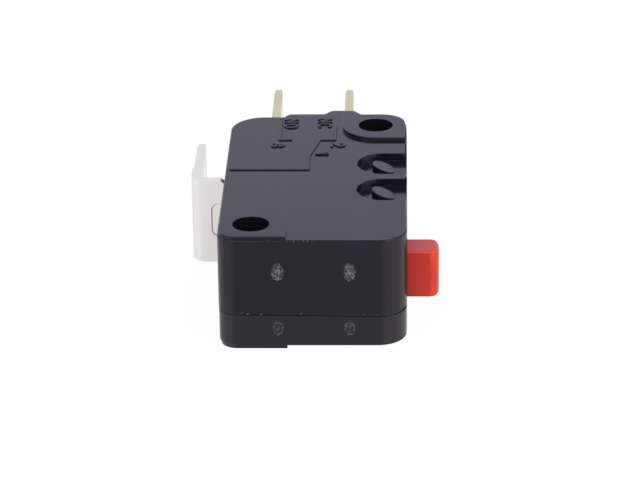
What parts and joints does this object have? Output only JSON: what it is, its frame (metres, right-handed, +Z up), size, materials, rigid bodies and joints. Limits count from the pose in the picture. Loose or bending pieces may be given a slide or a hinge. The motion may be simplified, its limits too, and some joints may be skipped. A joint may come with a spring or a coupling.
{
  "type": "pin plunger micro switch",
  "caption": "Miniature snap-action switch in a black moulded case, with a red pin plunger on one side, mounting holes at opposite corners and flat plug-on terminals.",
  "frame": {"origin": "on the axis of the mounting hole nearest the plunger end's left corner, on the mounting plane under the pads", "axes": "+X the way the plunger points, +Y towards the end with the two contact tabs, +Z up out of the mounting plane along the hole's axis"},
  "size_m": [0.0217, 0.0398, 0.0103],
  "materials": {
    "case_plastic": "black moulded plastic, fine matt texture",
    "cover_plastic": "black moulded plastic, fine matt texture",
    "plunger_plastic": "red moulded plastic, slight sheen",
    "silvered_metal": "brass sheet with a silvery plating",
    "tab_brass": "pale brass sheet, smooth, stamped edges",
    "blade_bronze": "sprung copper alloy sheet",
    "contact_silver": "silver alloy contact rivet"
  },
  "bodies": {
    "base": {"case": "case_plastic", "cover": "cover_plastic", "com_terminal": "silvered_metal", "nc_terminal": "tab_brass", "no_terminal": "tab_brass", "nc_contact": "contact_silver", "no_contact": "contact_silver"},
    "plunger": {"plunger": "plunger_plastic"},
    "blade": {"snap_blade": "blade_bronze", "moving_contact": "contact_silver"}
  },
  "joints": [
    {"name": "plunger_slide", "type": "slide", "parent": "base", "child": "plunger", "axis": [-1, 0, 0], "range_m": [0, 0.0021], "stiffness_N_per_m": 800, "springref_m": -0.001, "deforming": ["snap_blade"]},
    {"name": "blade_swing", "type": "hinge", "parent": "base", "child": "blade", "pos_m": [0.0049, -0.0008, 0.00515], "axis": [0, 0, 1], "range_deg": [0, 2.2]}
  ],
  "couplings": [
    {"joint": "blade_swing", "follows": "plunger_slide", "rad_per_m": 18.28}
  ]
}
